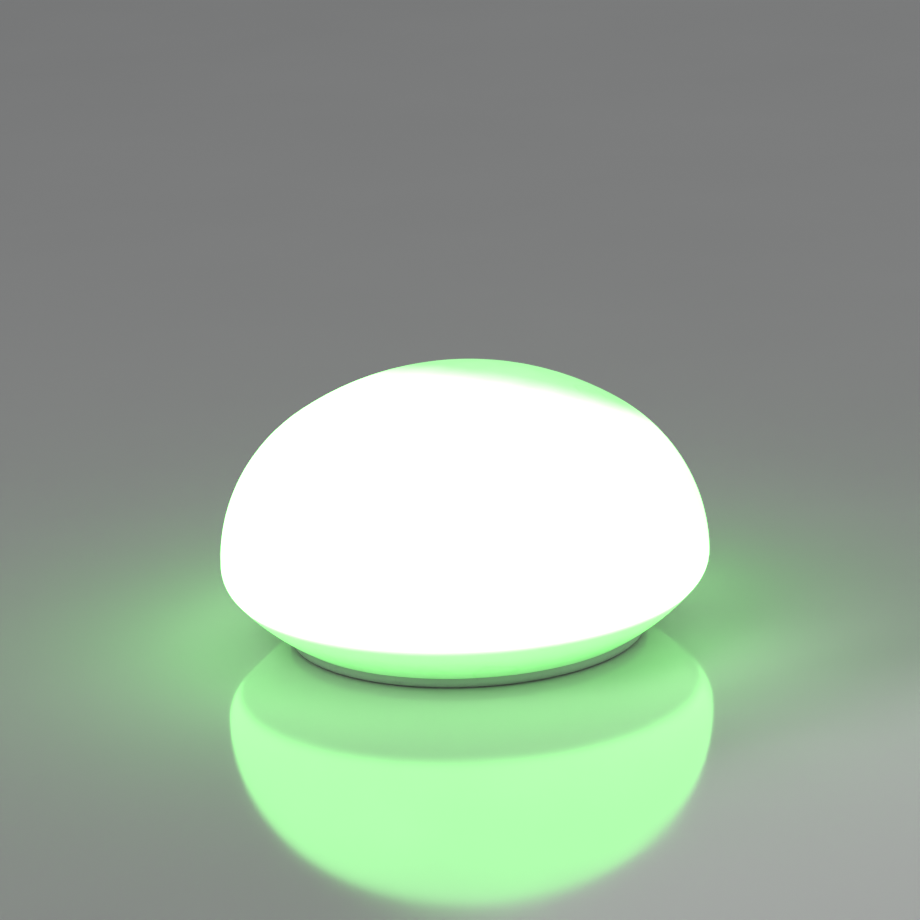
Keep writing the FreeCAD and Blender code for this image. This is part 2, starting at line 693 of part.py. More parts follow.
def terminal_rivets():
    """Rivets that carry the battery current through the well's ceiling."""
    foot_top = CEILING_Z - STRIP_T - 2 * FIT
    foot_z = foot_top - 0.5
    head_top = WELL_TOP + RIVET_HEAD_H
    rivets = []
    for x, y in RIVETS:
        shank = cylinder(RIVET_R, foot_z, head_top, x, y)
        foot = cylinder(RIVET_FOOT_R, foot_z, foot_top, x, y)
        head = cylinder(RIVET_FOOT_R, WELL_TOP + FIT, head_top, x, y)
        rivets.append(union([shank, foot, head]))
    return rivets


# ---- light engine -------------------------------------------------------------------------
def board_screw_holes(radius, z0, z1):
    return at_angles(cylinder(radius, z0, z1, BOARD_SCREW_R), BOARD_SCREW_ANGLES)


def reflector_skirt():
    """White flange under the LED board with a skirt that throws light outwards and down."""
    r0, r1 = REFLECTOR_FLANGE_R
    edge_r, edge_z = REFLECTOR_EDGE
    lip_z = BOARD_Z + 0.8
    outline = [
        (r0, POST_TOP),
        (r1, POST_TOP),
        (edge_r, edge_z - REFLECTOR_T),
        (edge_r, edge_z),
        (r1 + 0.4, lip_z),
        (r1 - 0.8, lip_z),
        (r1 - 0.8, BOARD_Z),
        (r0, BOARD_Z),
    ]
    return without(revolved(closed(outline)), board_screw_holes(1.5, POST_TOP - PAST, lip_z))


def led_board():
    """Round board with holes for its screws and for the four wires."""
    wire_hole = WIRE_R + 0.15
    x, y = BATTERY_WIRE_HOLE
    places = [(SWITCH_WIRE_HOLE_X, s * SWITCH_WIRE_Y) for s in (-1, 1)]
    places += [(s * x, s * y) for s in (-1, 1)]
    ends = (BOARD_Z - PAST, BOARD_TOP + PAST)
    holes = [cylinder(wire_hole, *ends, *place) for place in places]
    return without(cylinder(BOARD_R, BOARD_Z, BOARD_TOP), board_screw_holes(1.5, *ends) + holes)


def rgb_leds():
    """Surface-mount LED packages with a round well in the top."""
    half = LED_SIZE / 2
    z0 = BOARD_TOP + SOLDER_GAP
    body = block(LED_PCD_R - half, LED_PCD_R + half, -half, half, z0, z0 + LED_H)
    well = cylinder(LED_WELL_R, z0 + LED_WELL_Z, z0 + LED_H + PAST, LED_PCD_R)
    return around(body.cut(well), N_LEDS)


def led_lenses():
    """Clear resin that fills each package's well."""
    z0 = BOARD_TOP + SOLDER_GAP
    lens = cylinder(LED_WELL_R - FIT, z0 + LED_WELL_Z + FIT, z0 + LED_H + 0.1, LED_PCD_R)
    return around(lens, N_LEDS)


def controller_chip():
    """Eight-lead driver chip."""
    body = block(-2.0, 2.0, -2.5, 2.5, BOARD_TOP + 0.2, BOARD_TOP + 1.7)
    leads = []
    for side in (-1, 1):
        xs = ordered(side * 1.8, side * 3.0)
        for i in range(4):
            y = (i - 1.5) * CHIP_PITCH
            leads.append(block(*xs, y - 0.2, y + 0.2, BOARD_TOP + FIT, BOARD_TOP + 0.45))
    return moved(union([body] + leads), *CHIP_CENTRE)


def capacitor():
    """Can capacitor on its moulded foot."""
    half = CAPACITOR_R + 0.2
    foot = block(-half, half, -half, half, BOARD_TOP + SOLDER_GAP, BOARD_TOP + 0.7)
    top = BOARD_TOP + 6.2
    can = cylinder(CAPACITOR_R, BOARD_TOP + 0.6, top)
    return moved(foot.fuse(can.makeFillet(0.5, edges_at(can, top))), *CAPACITOR_CENTRE)


def resistors():
    """One current-limiting resistor inboard of the gap between each two LEDs."""
    chip = block(-0.6, 0.6, -1.0, 1.0, BOARD_TOP + SOLDER_GAP, BOARD_TOP + 0.5)
    return around(moved(chip, RESISTOR_PCD_R, 0), N_LEDS, 180.0 / N_LEDS)


def board_screws():
    """Self-tapping screws through the board and the reflector into the well's posts."""
    top = BOARD_TOP + 1.7
    head = cylinder(2.3, BOARD_TOP + FIT, top)
    head = head.makeFillet(0.6, edges_at(head, top))
    shank = cylinder(BOARD_SCREW_SHANK_R - FIT, BOARD_SCREW_TIP_Z, top - 0.5)
    screw = head.fuse(shank).cut(cross_recess(1.3, 0.6, top - 0.9, top + PAST)).removeSplitter()
    return at_angles(moved(screw, BOARD_SCREW_R, 0), BOARD_SCREW_ANGLES)


# ---- push button and its switch -------------------------------------------------------------
def revolved_at_button(points):
    """The solid of revolution of a closed (r, z) outline about the button's axis."""
    return moved(revolved(closed(points)), BUTTON_X, 0)


def power_button():
    """Hard button: a dished face, a retaining flange and a short stem."""
    flange_top = BUTTON_FLANGE_Z + BUTTON_FLANGE_T
    return revolved_at_button(
        [
            (0, BUTTON_FACE_Z + 0.35),
            (GATE_R, BUTTON_FACE_Z + 0.35),
            (2.4, BUTTON_FACE_Z),
            (BUTTON_R - 0.5, BUTTON_FACE_Z),
            (BUTTON_R, BUTTON_FACE_Z + 0.5),
            (BUTTON_R, BUTTON_FLANGE_Z),
            (BUTTON_FLANGE_R, BUTTON_FLANGE_Z),
            (BUTTON_FLANGE_R, flange_top),
            (BUTTON_STEM_R, flange_top),
            (BUTTON_STEM_R, MEMBRANE_Z - TOUCH),
            (0, MEMBRANE_Z - TOUCH),
        ]
    )


def button_membrane():
    """Silicone sheet that seals the button's bore and flexes at its middle."""
    sheet = cylinder(TOWER_R - 0.1, MEMBRANE_Z, MEMBRANE_Z + MEMBRANE_T, BUTTON_X)
    nib = cylinder(PLUNGER_R, MEMBRANE_Z + FIT, MEMBRANE_NIB_Z, BUTTON_X)
    return sheet.fuse(nib).removeSplitter()


def membrane_ring():
    """Snap ring that grips the tower's outside and clamps the membrane's edge."""
    top = MEMBRANE_Z + 1.4
    underside = MEMBRANE_Z + MEMBRANE_T + TOUCH
    return revolved_at_button(
        [
            (3.4, underside),
            (TOWER_R + FIT, underside),
            (TOWER_R + FIT, SNAP_RING_Z),
            (SNAP_RING_R, SNAP_RING_Z),
            (SNAP_RING_R, top),
            (3.4, top),
        ]
    )


def switch_board():
    half_x, half_y = SWITCH_BOARD_HALF
    top = SWITCH_BOARD_Z + SWITCH_BOARD_T
    board = moved(block(-half_x, half_x, -half_y, half_y, SWITCH_BOARD_Z, top), BUTTON_X, 0)
    holes = [
        cylinder(1.1, SWITCH_BOARD_Z - PAST, top + PAST, BUTTON_X, y)
        for y in (-SWITCH_POST_Y, SWITCH_POST_Y)
    ]
    return without(board, holes)


def switch_board_screws():
    """Slotted self-tapping screws into the two posts beside the button."""
    seat = SWITCH_BOARD_Z + SWITCH_BOARD_T
    head = cylinder(1.7, seat + FIT, seat + 1.2)
    shank = cylinder(SWITCH_SCREW_R - FIT, SPIGOT_Z + 1.8, seat + 0.2)
    slot = block(-2, 2, -0.2, 0.2, seat + 0.7, seat + 2)
    screw = head.fuse(shank).cut(slot).removeSplitter()
    return [moved(screw, BUTTON_X, y) for y in (-SWITCH_POST_Y, SWITCH_POST_Y)]


def switch_body():
    """Tact switch under its board, with its plunger's hole facing down."""
    top = SWITCH_BOARD_Z - TOUCH
    half = SWITCH_HALF
    body = block(BUTTON_X - half, BUTTON_X + half, -half, half, top - SWITCH_H, top)
    return body.cut(cylinder(PLUNGER_R + 0.1, top - SWITCH_H - PAST, top - 1.0, BUTTON_X))


def switch_plunger():
    bottom = MEMBRANE_NIB_Z + TOUCH
    return cylinder(PLUNGER_R, bottom, bottom + PLUNGER_L, BUTTON_X)


# ---- wires --------------------------------------------------------------------------------
def switch_lead(y):
    """From the switch board up beside the well, over its top and up through the LED board."""
    x = BUTTON_X + 1.9
    points = [
        V(x, y, SWITCH_BOARD_Z + SWITCH_BOARD_T + FIT),
        V(x, y, 21.5),
        V(BUTTON_X + 3.4, y * 1.2, 29.0),
        V(-40.6, y * 1.35, 34.4),
        V(-33.0, y * 1.25, 36.0),
        V(-23.5, y * 1.12, 36.1),
        V(-15.5, y * 1.03, 36.6),
        V(SWITCH_WIRE_HOLE_X, y, 40.0),
        V(SWITCH_WIRE_HOLE_X, y, WIRE_END_Z),
    ]
    return tube(rounded_path(points), WIRE_R)


def battery_lead(side):
    """From a terminal rivet in towards the middle and up through the LED board."""
    x, y = BATTERY_WIRE_HOLE
    points = [
        V(side * -14.2, side * 18.6, WELL_TOP + RIVET_HEAD_H + WIRE_R + FIT),
        V(side * -11.0, side * 15.4, 35.6),
        V(side * -6.4, side * 11.6, 36.4),
        V(side * x, side * y, 39.6),
        V(side * x, side * y, WIRE_END_Z),
    ]
    return tube(rounded_path(points), WIRE_R)


# ---- tether bail --------------------------------------------------------------------------
def tether_bail():
    """Half-round wire bail whose ends turn outwards into pivot holes in the base plate."""
    bend_x = BAIL_PIN_X + BAIL_BEND_R
    bow_y = math.sqrt(BAIL_R**2 - bend_x**2)
    bend_y = bow_y + BAIL_BEND_R
    reach = BAIL_BEND_R * math.sqrt(0.5)

    def point(x, y):
        return V(x, y, BAIL_Z)

    def straight(p, q):
        return Part.LineSegment(p, q).toShape()

    near = [point(BAIL_PIN_X, -BAIL_PIN_END), point(BAIL_PIN_X, -bend_y), point(bend_x, -bow_y)]
    far = [point(p.x, -p.y) for p in near]
    near_mid = point(bend_x - reach, -bend_y + reach)
    far_mid = point(bend_x - reach, bend_y - reach)
    edges = [
        straight(near[0], near[1]),
        Part.Arc(near[1], near_mid, near[2]).toShape(),
        Part.Arc(near[2], point(BAIL_R, 0), far[2]).toShape(),
        Part.Arc(far[2], far_mid, far[1]).toShape(),
        straight(far[1], far[0]),
    ]
    return tube(Part.Wire(edges), BAIL_WIRE_R)


def main():
    save("float_shell", float_shell())
    save("threaded_inserts", threaded_inserts())
    save("base_plate", base_plate())
    save("base_gasket", base_gasket())
    save("base_screws", base_screws())
    save("battery_cap", battery_cap())
    save("cap_seal", cap_seal())
    save("battery_tray", battery_tray())
    for i, (x, side) in enumerate(zip(CELL_XS, PLUS_SIDES)):
        save(f"battery_cell_{i + 1}", battery_cell(x, side))
    save("contact_plates", contact_plates())
    save("contact_springs", contact_springs())
    save("well_contacts", well_contacts())
    save("terminal_rivets", terminal_rivets())
    save("reflector_skirt", reflector_skirt())
    save("led_board", led_board())
    save("rgb_leds", rgb_leds())
    save("led_lenses", led_lenses())
    save("controller_chip", controller_chip())
    save("capacitor", capacitor())
    save("resistors", resistors())
    save("board_screws", board_screws())
    save("power_button", power_button())
    save("button_membrane", button_membrane())
    save("membrane_ring", membrane_ring())
    save("switch_board", switch_board())
    save("switch_board_screws", switch_board_screws())
    save("switch_body", switch_body())
    save("switch_plunger", switch_plunger())
    save("switch_lead_1", switch_lead(SWITCH_WIRE_Y))
    save("switch_lead_2", switch_lead(-SWITCH_WIRE_Y))
    save("battery_lead_red", battery_lead(1))
    save("battery_lead_black", battery_lead(-1))
    save("tether_bail", tether_bail())


main()
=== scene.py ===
import json
import math

import bpy
from mathutils import Matrix, Vector


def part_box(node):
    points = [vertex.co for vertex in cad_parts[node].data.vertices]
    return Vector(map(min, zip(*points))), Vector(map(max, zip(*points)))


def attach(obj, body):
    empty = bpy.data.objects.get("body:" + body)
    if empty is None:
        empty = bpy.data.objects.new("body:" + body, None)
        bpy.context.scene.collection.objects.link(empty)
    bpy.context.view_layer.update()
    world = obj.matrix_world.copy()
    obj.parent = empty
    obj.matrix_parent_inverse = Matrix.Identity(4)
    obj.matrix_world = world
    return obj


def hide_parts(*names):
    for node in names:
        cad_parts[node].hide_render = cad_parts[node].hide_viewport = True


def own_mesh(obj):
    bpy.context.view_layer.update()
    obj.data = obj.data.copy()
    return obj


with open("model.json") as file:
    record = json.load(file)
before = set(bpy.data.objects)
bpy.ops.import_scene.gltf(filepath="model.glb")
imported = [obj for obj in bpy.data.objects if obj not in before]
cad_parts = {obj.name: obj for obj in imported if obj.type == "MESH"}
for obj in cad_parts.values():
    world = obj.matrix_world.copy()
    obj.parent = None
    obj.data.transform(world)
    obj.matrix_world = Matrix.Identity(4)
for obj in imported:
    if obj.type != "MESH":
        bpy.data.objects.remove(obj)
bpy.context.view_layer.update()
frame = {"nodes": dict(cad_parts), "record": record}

NODES = frame["nodes"]
SLOT_OF = {s["node"]: s["material_slot"] for s in frame["record"]["subparts"]}

SHELL_LOW, SHELL_HIGH = (Vector(corner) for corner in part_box("float_shell"))
CROWN_Z = SHELL_HIGH.z
SEAT_Z = SHELL_LOW.z
R_WIDE = SHELL_HIGH.x
WIDE_Z = CROWN_Z - 0.78 * R_WIDE  # the widest ring
FLOAT_LINE_Z = WIDE_Z - 0.11 * R_WIDE  # where still water meets the hull
MM = 0.001


# ---- node graphs ----------------------------------------------------------------------------
class Graph:
    """A material's node tree, with one short call for each kind of node it uses."""

    def __init__(self, name, **shader):
        self.material = bpy.data.materials.new(name)
        self.material.use_nodes = True
        self.tree = self.material.node_tree
        self.bsdf = self.tree.nodes["Principled BSDF"]
        for socket, value in shader.items():
            self.bsdf.inputs[socket.replace("_", " ")].default_value = value
        self.place = self.tree.nodes.new("ShaderNodeTexCoord").outputs["Object"]

    def node(self, kind, settings=None, **inputs):
        made = self.tree.nodes.new("ShaderNode" + kind)
        for key, value in (settings or {}).items():
            setattr(made, key, value)
        for key, value in inputs.items():
            socket = made.inputs[int(key[1:])] if key[0] == "i" and key[1:].isdigit() else made.inputs[key]
            self.feed(socket, value)
        return made

    def feed(self, socket, value):
        if isinstance(value, bpy.types.NodeSocket):
            self.tree.links.new(value, socket)
        else:
            socket.default_value = value

    def set(self, socket, value):
        self.feed(self.bsdf.inputs[socket], value)

    def math(self, operation, a, b=0.0, clamp=False):
        settings = {"operation": operation, "use_clamp": clamp}
        return self.node("Math", settings, i0=a, i1=b).outputs[0]

    def noise(self, scale, detail=3.0, roughness=0.5, place=None):
        made = self.node("TexNoise", Vector=place or self.place, Scale=scale, Detail=detail)
        made.inputs["Roughness"].default_value = roughness
        return made.outputs["Fac"]

    def stretched(self, sx, sy, sz):
        """Object coordinates scaled along each axis, for grain that runs one way."""
        return self.node("Mapping", Vector=self.place, Scale=(sx, sy, sz)).outputs[0]

    def span(self, value, low, high, out_low=0.0, out_high=1.0):
        """value mapped from low..high to out_low..out_high, and held beyond them."""
        made = self.node("MapRange", {"interpolation_type": "SMOOTHSTEP"}, Value=value)
        ends = {"From Min": low, "From Max": high, "To Min": out_low, "To Max": out_high}
        for key, number in ends.items():
            made.inputs[key].default_value = number
        return made.outputs["Result"]

    def blend(self, factor, a, b):
        """Colour a where factor is 0 and b where it is 1."""
        made = self.node("Mix", {"data_type": "RGBA"})
        self.feed(made.inputs[0], factor)
        self.feed(made.inputs[6], a if isinstance(a, bpy.types.NodeSocket) else (*a, 1.0))
        self.feed(made.inputs[7], b if isinstance(b, bpy.types.NodeSocket) else (*b, 1.0))
        return made.outputs[2]

    def axes(self):
        """The object coordinates x, y and z."""
        return self.node("SeparateXYZ", Vector=self.place).outputs

    def edge(self, reach):
        """About 1 on worn convex edges and 0 elsewhere."""
        bevel = self.node("Bevel", {"samples": 4}, Radius=reach).outputs[0]
        flat = self.node("NewGeometry").outputs["Normal"]
        dot = self.node("VectorMath", {"operation": "DOT_PRODUCT"}, i0=bevel, i1=flat)
        return self.span(dot.outputs["Value"], 0.995, 0.9)

    def bump(self, height, distance, strength=1.0):
        made = self.node("Bump", Height=height, Distance=distance, Strength=strength)
        self.set("Normal", made.outputs[0])

    def roughness(self, low, high, scale):
        self.set("Roughness", self.span(self.noise(scale, 4.0), 0.3, 0.7, low, high))


def shade(color, factor):
    return tuple(min(1.0, c * factor) for c in color)


# ---- the glowing shell ----------------------------------------------------------------------
GLOW = (0.26, 1.0, 0.24)
GLOW_STRENGTH = 5.2
LENS_STRENGTH = 8.0
HULL_GLOW = (0.10, 0.23)  # at the seat and just under the float line
DOME_GLOW = 0.70  # added above the float line
CROWN_DIM = 0.83  # share of the glow that the patch behind the crown takes away
SIDE_DIM = 0.30


def patch(g, u, v, centre, half_u, half_v):
    """1 within an ellipse of two coordinates, falling to 0 across its soft edge."""
    across = g.math("DIVIDE", g.math("SUBTRACT", u, centre[0]), half_u)
    along = g.math("DIVIDE", g.math("SUBTRACT", v, centre[1]), half_v)
    square = g.math("ADD", g.math("MULTIPLY", across, across), g.math("MULTIPLY", along, along))
    return g.span(square, 1.55, 0.66)


def glow_level(g):
    """How brightly each point of the shell glows, from 0 to 1, from the light engine inside it."""
    x, y, z = g.axes()
    # the lower hull is shaded by the reflector and the base module
    hull = g.span(z, SEAT_Z, FLOAT_LINE_Z - 1 * MM, *HULL_GLOW)
    above = g.span(z, FLOAT_LINE_Z - 2 * MM, FLOAT_LINE_Z + 2 * MM)
    body = g.math("ADD", hull, g.math("MULTIPLY", above, DOME_GLOW))
    # painted dimmer behind the crown on the +X side, and a little down that side, as in the photograph
    drift = g.math("MULTIPLY", g.math("SUBTRACT", g.noise(22.0, 3.0), 0.5), 16 * MM)
    behind = g.math("ADD", y, drift)
    height = g.math("ADD", z, drift)
    crown = patch(g, x, behind, (28 * MM, 45 * MM), 58 * MM, 58 * MM)
    crown = g.math("MULTIPLY", crown, g.span(height, CROWN_Z - 42 * MM, CROWN_Z - 18 * MM))
    side = patch(g, behind, height, (9 * MM, CROWN_Z - 52 * MM), 26 * MM, 38 * MM)
    side = g.math("MULTIPLY", side, g.span(x, 0.35 * R_WIDE, R_WIDE))
    dim = g.math("MAXIMUM", g.math("MULTIPLY", crown, CROWN_DIM), g.math("MULTIPLY", side, SIDE_DIM))
    lit = g.math("SUBTRACT", 1.0, dim, clamp=True)
    # slow, faint mottling
    cloud = g.span(g.noise(30.0, 3.0), 0.25, 0.75, 0.94, 1.0)
    return g.math("MULTIPLY", g.math("MULTIPLY", body, lit), cloud, clamp=True)


def float_shell_material():
    """Milky satin polyethylene, lit from inside."""
    g = Graph("float_shell", Specular_IOR_Level=0.45, Coat_Weight=0.08, Coat_Roughness=0.25)
    z = g.axes()[2]
    scuff = g.span(g.noise(900.0, 6.0, 0.7, g.stretched(1.0, 1.0, 0.25)), 0.60, 0.72)
    low = g.span(z, FLOAT_LINE_Z, SEAT_Z)
    film = g.math("MULTIPLY", g.span(g.noise(60.0, 5.0, 0.6), 0.4, 0.7), low)
    marks = water_marks(g, 42.0)
    milk = g.blend(g.noise(35.0, 4.0), (0.70, 0.86, 0.70), (0.78, 0.92, 0.77))
    stained = g.math("ADD", g.math("MULTIPLY", film, 0.5), g.math("MULTIPLY", marks, 0.25), clamp=True)
    g.set("Base Color", g.blend(stained, milk, (0.50, 0.58, 0.48)))
    rough = g.span(g.noise(120.0, 5.0), 0.3, 0.7, 0.30, 0.42)
    worn = g.math("MULTIPLY", g.math("MAXIMUM", scuff, marks), 0.18)
    g.set("Roughness", g.math("ADD", rough, worn, clamp=True))
    fine = g.math("MULTIPLY", g.noise(2600.0, 2.0), 0.25)
    g.bump(g.math("ADD", g.noise(160.0, 3.0), fine), 0.06 * MM, 0.6)
    g.set("Emission Color", g.blend(glow_level(g), (0.0, 0.0, 0.0), GLOW))
    g.set("Emission Strength", GLOW_STRENGTH)
    return g.material


# ---- plastics -------------------------------------------------------------------------------
def water_marks(g, scale):
    """Rings of dried water, 1 on the rim of each and 0 elsewhere."""
    wander = g.math("MULTIPLY", g.math("SUBTRACT", g.noise(scale * 2.5, 4.0), 0.5), 0.35)
    cells = g.node("TexVoronoi", {"feature": "F1"}, Vector=g.place, Scale=scale)
    reach = g.math("ADD", cells.outputs["Distance"], wander)
    rim = g.math("MULTIPLY", g.span(reach, 0.27, 0.33), g.span(reach, 0.40, 0.34))
    return g.math("MULTIPLY", rim, g.span(g.noise(scale * 0.35, 2.0), 0.48, 0.60))


def moulded(name, color, low=0.38, high=0.55, grain=1500.0, coat=0.0):
    """Moulded plastic: spark texture, slow tone changes, fine scratches and worn edges."""
    g = Graph(name, Specular_IOR_Level=0.45, Coat_Weight=coat)
    tone = g.blend(g.noise(70.0, 5.0), shade(color, 0.90), shade(color, 1.06))
    grime = g.span(g.noise(180.0, 6.0, 0.65), 0.56, 0.78)
    tone = g.blend(g.math("MULTIPLY", grime, 0.38), tone, shade(color, 0.58))
    pale = tuple(c + (1.0 - c) * 0.35 for c in color)
    marks = water_marks(g, 55.0)
    tone = g.blend(g.math("MULTIPLY", marks, 0.26), tone, pale)
    worn = g.math("MULTIPLY", g.edge(0.5 * MM), g.span(g.noise(260.0, 4.0), 0.35, 0.65))
    g.set("Base Color", g.blend(g.math("MULTIPLY", worn, 0.7), tone, pale))
    hairs = g.span(g.noise(240.0, 5.0, 0.7, g.stretched(1.0, 14.0, 1.0)), 0.60, 0.66)
    rough = g.span(g.noise(300.0, 4.0), 0.3, 0.7, low, high)
    rough = g.math("ADD", rough, g.math("MULTIPLY", g.math("MAXIMUM", hairs, marks), 0.14))
    g.set("Roughness", rough)
    spark = g.math("MULTIPLY", g.noise(grain, 3.0), 0.8)
    relief = g.math("ADD", spark, g.math("MULTIPLY", hairs, -0.5))
    g.bump(g.math("ADD", relief, g.noise(240.0, 2.0)), 0.06 * MM, 0.9)
    return g.material


def plain_rubber(name, color):
    """Soft rubber or silicone with a dusty bloom."""
    g = Graph(name, Specular_IOR_Level=0.3, Sheen_Weight=0.15, Sheen_Roughness=0.5)
    bloom = g.span(g.noise(220.0, 5.0, 0.6), 0.5, 0.8)
    pale = tuple(c + (1.0 - c) * 0.12 for c in color)
    g.set("Base Color", g.blend(bloom, color, pale))
    g.roughness(0.60, 0.85, 400.0)
    g.bump(g.noise(1200.0, 3.0), 0.03 * MM, 0.7)
    return g.material


# ---- metals ---------------------------------------------------------------------------------
def metal(name, color, low, high, grain=(1.0, 1.0, 1.0), tarnish=(0.5, 0.5, 0.5)):
    """Bare metal with fine directional grain and a trace of tarnish."""
    g = Graph(name, Metallic=1.0)
    lines = g.noise(2200.0, 4.0, 0.6, g.stretched(*grain))
    spots = g.span(g.noise(300.0, 6.0, 0.7), 0.58, 0.75)
    tone = g.blend(lines, shade(color, 0.88), shade(color, 1.05))
    g.set("Base Color", g.blend(g.math("MULTIPLY", spots, 0.45), tone, tarnish))
    wide = g.span(lines, 0.3, 0.7, low, high)
    g.set("Roughness", g.math("ADD", wide, g.math("MULTIPLY", spots, 0.15), clamp=True))
    g.bump(lines, 0.02 * MM, 0.6)
    return g.material


# ---- inner pieces ---------------------------------------------------------------------------
def cell_wrap():
    """A plain shrink-wrapped cell: dark green with a pale band, and bare steel at both ends."""
    g = Graph("cell_wrap", Specular_IOR_Level=0.5)
    low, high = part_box("battery_cell_1")
    half = (high[1] - low[1]) / 2
    along = g.math("ABSOLUTE", g.axes()[1])
    steel = g.span(along, half - 1.8 * MM, half - 1.5 * MM)
    band = g.math("MULTIPLY", g.span(along, 15.8 * MM, 16.0 * MM), g.span(along, 19.2 * MM, 19.0 * MM))
    wrap = g.blend(g.noise(90.0, 4.0), (0.03, 0.12, 0.07), (0.04, 0.16, 0.09))
    wrap = g.blend(band, wrap, (0.72, 0.74, 0.70))
    g.set("Base Color", g.blend(steel, wrap, (0.70, 0.70, 0.69)))
    g.set("Metallic", steel)
    g.roughness(0.22, 0.36, 260.0)
    g.bump(g.noise(700.0, 3.0), 0.02 * MM, 0.5)
    return g.material


def circuit_board():
    """Green solder mask over a faint net of copper tracks."""
    g = Graph("circuit_board", Specular_IOR_Level=0.5, Coat_Weight=0.2, Coat_Roughness=0.2)
    brick = g.node("TexBrick", {"offset": 0.37}, Vector=g.place, Scale=220.0)
    brick.inputs["Mortar Size"].default_value = 0.06
    tracks = g.math("SUBTRACT", 1.0, brick.outputs["Fac"])
    mask = g.blend(tracks, (0.010, 0.075, 0.030), (0.018, 0.13, 0.05))
    g.set("Base Color", g.blend(g.math("MULTIPLY", g.noise(500.0), 0.3), mask, (0.02, 0.10, 0.06)))
    g.roughness(0.25, 0.40, 500.0)
    g.bump(tracks, 0.03 * MM, 0.8)
    return g.material


def led_lens():
    """Clear resin over a lit chip."""
    g = Graph("led_lens", Specular_IOR_Level=0.6)
    g.set("Base Color", g.blend(g.noise(900.0), (0.75, 0.95, 0.78), (0.85, 1.0, 0.88)))
    g.set("Emission Color", g.blend(g.noise(600.0), shade(GLOW, 0.8), GLOW))
    g.set("Emission Strength", LENS_STRENGTH)
    g.roughness(0.05, 0.12, 900.0)
    return g.material


def build_materials():
    steel = (0.62, 0.63, 0.64)
    return {
        "float_shell": float_shell_material(),
        "brass": metal("brass", (0.78, 0.58, 0.26), 0.25, 0.42, (1, 1, 6), (0.32, 0.22, 0.10)),
        "base_plate": moulded("base_plate", (0.74, 0.77, 0.75), 0.40, 0.56),
        "seal_rubber": plain_rubber("seal_rubber", (0.02, 0.02, 0.022)),
        "stainless_steel": metal("stainless_steel", steel, 0.22, 0.38, (1, 1, 4)),
        "battery_cap": moulded("battery_cap", (0.30, 0.33, 0.33), 0.36, 0.52),
        "tray_plastic": moulded("tray_plastic", (0.03, 0.03, 0.032), 0.40, 0.58),
        "cell_wrap": cell_wrap(),
        "spring_steel": metal("spring_steel", (0.68, 0.68, 0.66), 0.18, 0.32),
        "white_plastic": moulded("white_plastic", (0.84, 0.85, 0.84), 0.28, 0.42),
        "circuit_board": circuit_board(),
        "led_package": moulded("led_package", (0.86, 0.86, 0.82), 0.35, 0.50),
        "led_lens": led_lens(),
        "chip_plastic": moulded("chip_plastic", (0.025, 0.025, 0.028), 0.50, 0.70),
        "capacitor_can": metal("capacitor_can", (0.74, 0.74, 0.76), 0.20, 0.34, (1, 1, 0.2)),
        "resistor_ceramic": moulded("resistor_ceramic", (0.04, 0.04, 0.045), 0.35, 0.5),
        "power_button": moulded("power_button", (0.12, 0.34, 0.18), 0.30, 0.44, coat=0.1),
        "silicone": plain_rubber("silicone", (0.62, 0.64, 0.62)),
        "wire_red": plain_rubber("wire_red", (0.45, 0.02, 0.015)),
        "wire_black": plain_rubber("wire_black", (0.018, 0.018, 0.018)),
        "bail_wire": metal("bail_wire", (0.74, 0.74, 0.75), 0.18, 0.28, tarnish=(0.62, 0.62, 0.62)),
    }


def dress(materials):
    """Every CAD node keeps its shape and takes its slot's finished material."""
    for name, node in NODES.items():
        node.data.materials.clear()
        node.data.materials.append(materials[SLOT_OF[name]])


# ---- the button's membrane ------------------------------------------------------------------
def lathe(name, outline, x, y, steps=72):
    """The closed piece that an (r, z) outline sweeps about an upright axis, from pole to pole."""
    pole_low, *rings, pole_high = outline
    verts = [(x, y, pole_low[1])]
    for r, z in rings:
        for i in range(steps):
            a = 2 * math.pi * i / steps
            verts.append((x + r * math.cos(a), y + r * math.sin(a), z))
    verts.append((x, y, pole_high[1]))
    last = len(verts) - 1
    faces = []
    for i in range(steps):
        j = (i + 1) % steps
        faces.append((0, 1 + j, 1 + i))
        for k in range(len(rings) - 1):
            low, high = 1 + k * steps, 1 + (k + 1) * steps
            faces.append((low + i, low + j, high + j, high + i))
        top = 1 + (len(rings) - 1) * steps
        faces.append((top + i, top + j, last))
    mesh = bpy.data.meshes.new(name)
    mesh.from_pydata(verts, [], faces)
    mesh.shade_smooth()
    mesh.set_sharp_from_angle(angle=math.radians(35))
    piece = bpy.data.objects.new(name, mesh)
    bpy.context.scene.collection.objects.link(piece)
    return piece


def button_membrane(material):
    """A silicone sheet with a rolled ring round its middle, fixed to the housing in place of the CAD
    membrane.
    """
    low, high = (Vector(corner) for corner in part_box("button_membrane"))
    plunger_low, plunger_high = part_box("switch_plunger")
    middle = (low + high) / 2
    outer_r = (high.x - low.x) / 2
    nib_r = (plunger_high[0] - plunger_low[0]) / 2
    sheet_z = low.z + 0.6 * MM
    roll_in, roll_out = 1.9 * MM, 3.2 * MM
    waves = 10

    def roll(base, rise):
        """Points of the rolled ring on one side of the sheet, from its inside outwards."""
        shares = [i / waves for i in range(waves + 1)]
        width = roll_out - roll_in
        return [(roll_in + t * width, base + rise * math.sin(math.pi * t) ** 2) for t in shares]

    under = roll(low.z, 0.22 * MM)
    over = roll(sheet_z, 0.16 * MM)
    outline = [(0, low.z), *under, (outer_r, low.z), (outer_r, sheet_z), *over[::-1]]
    outline += [(nib_r, sheet_z), (nib_r, high.z), (0, high.z)]
    piece = lathe("membrane_flex", outline, middle.x, middle.y)
    piece.data.materials.append(material)
    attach(piece, "housing")
    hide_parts("button_membrane")
    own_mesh(piece)


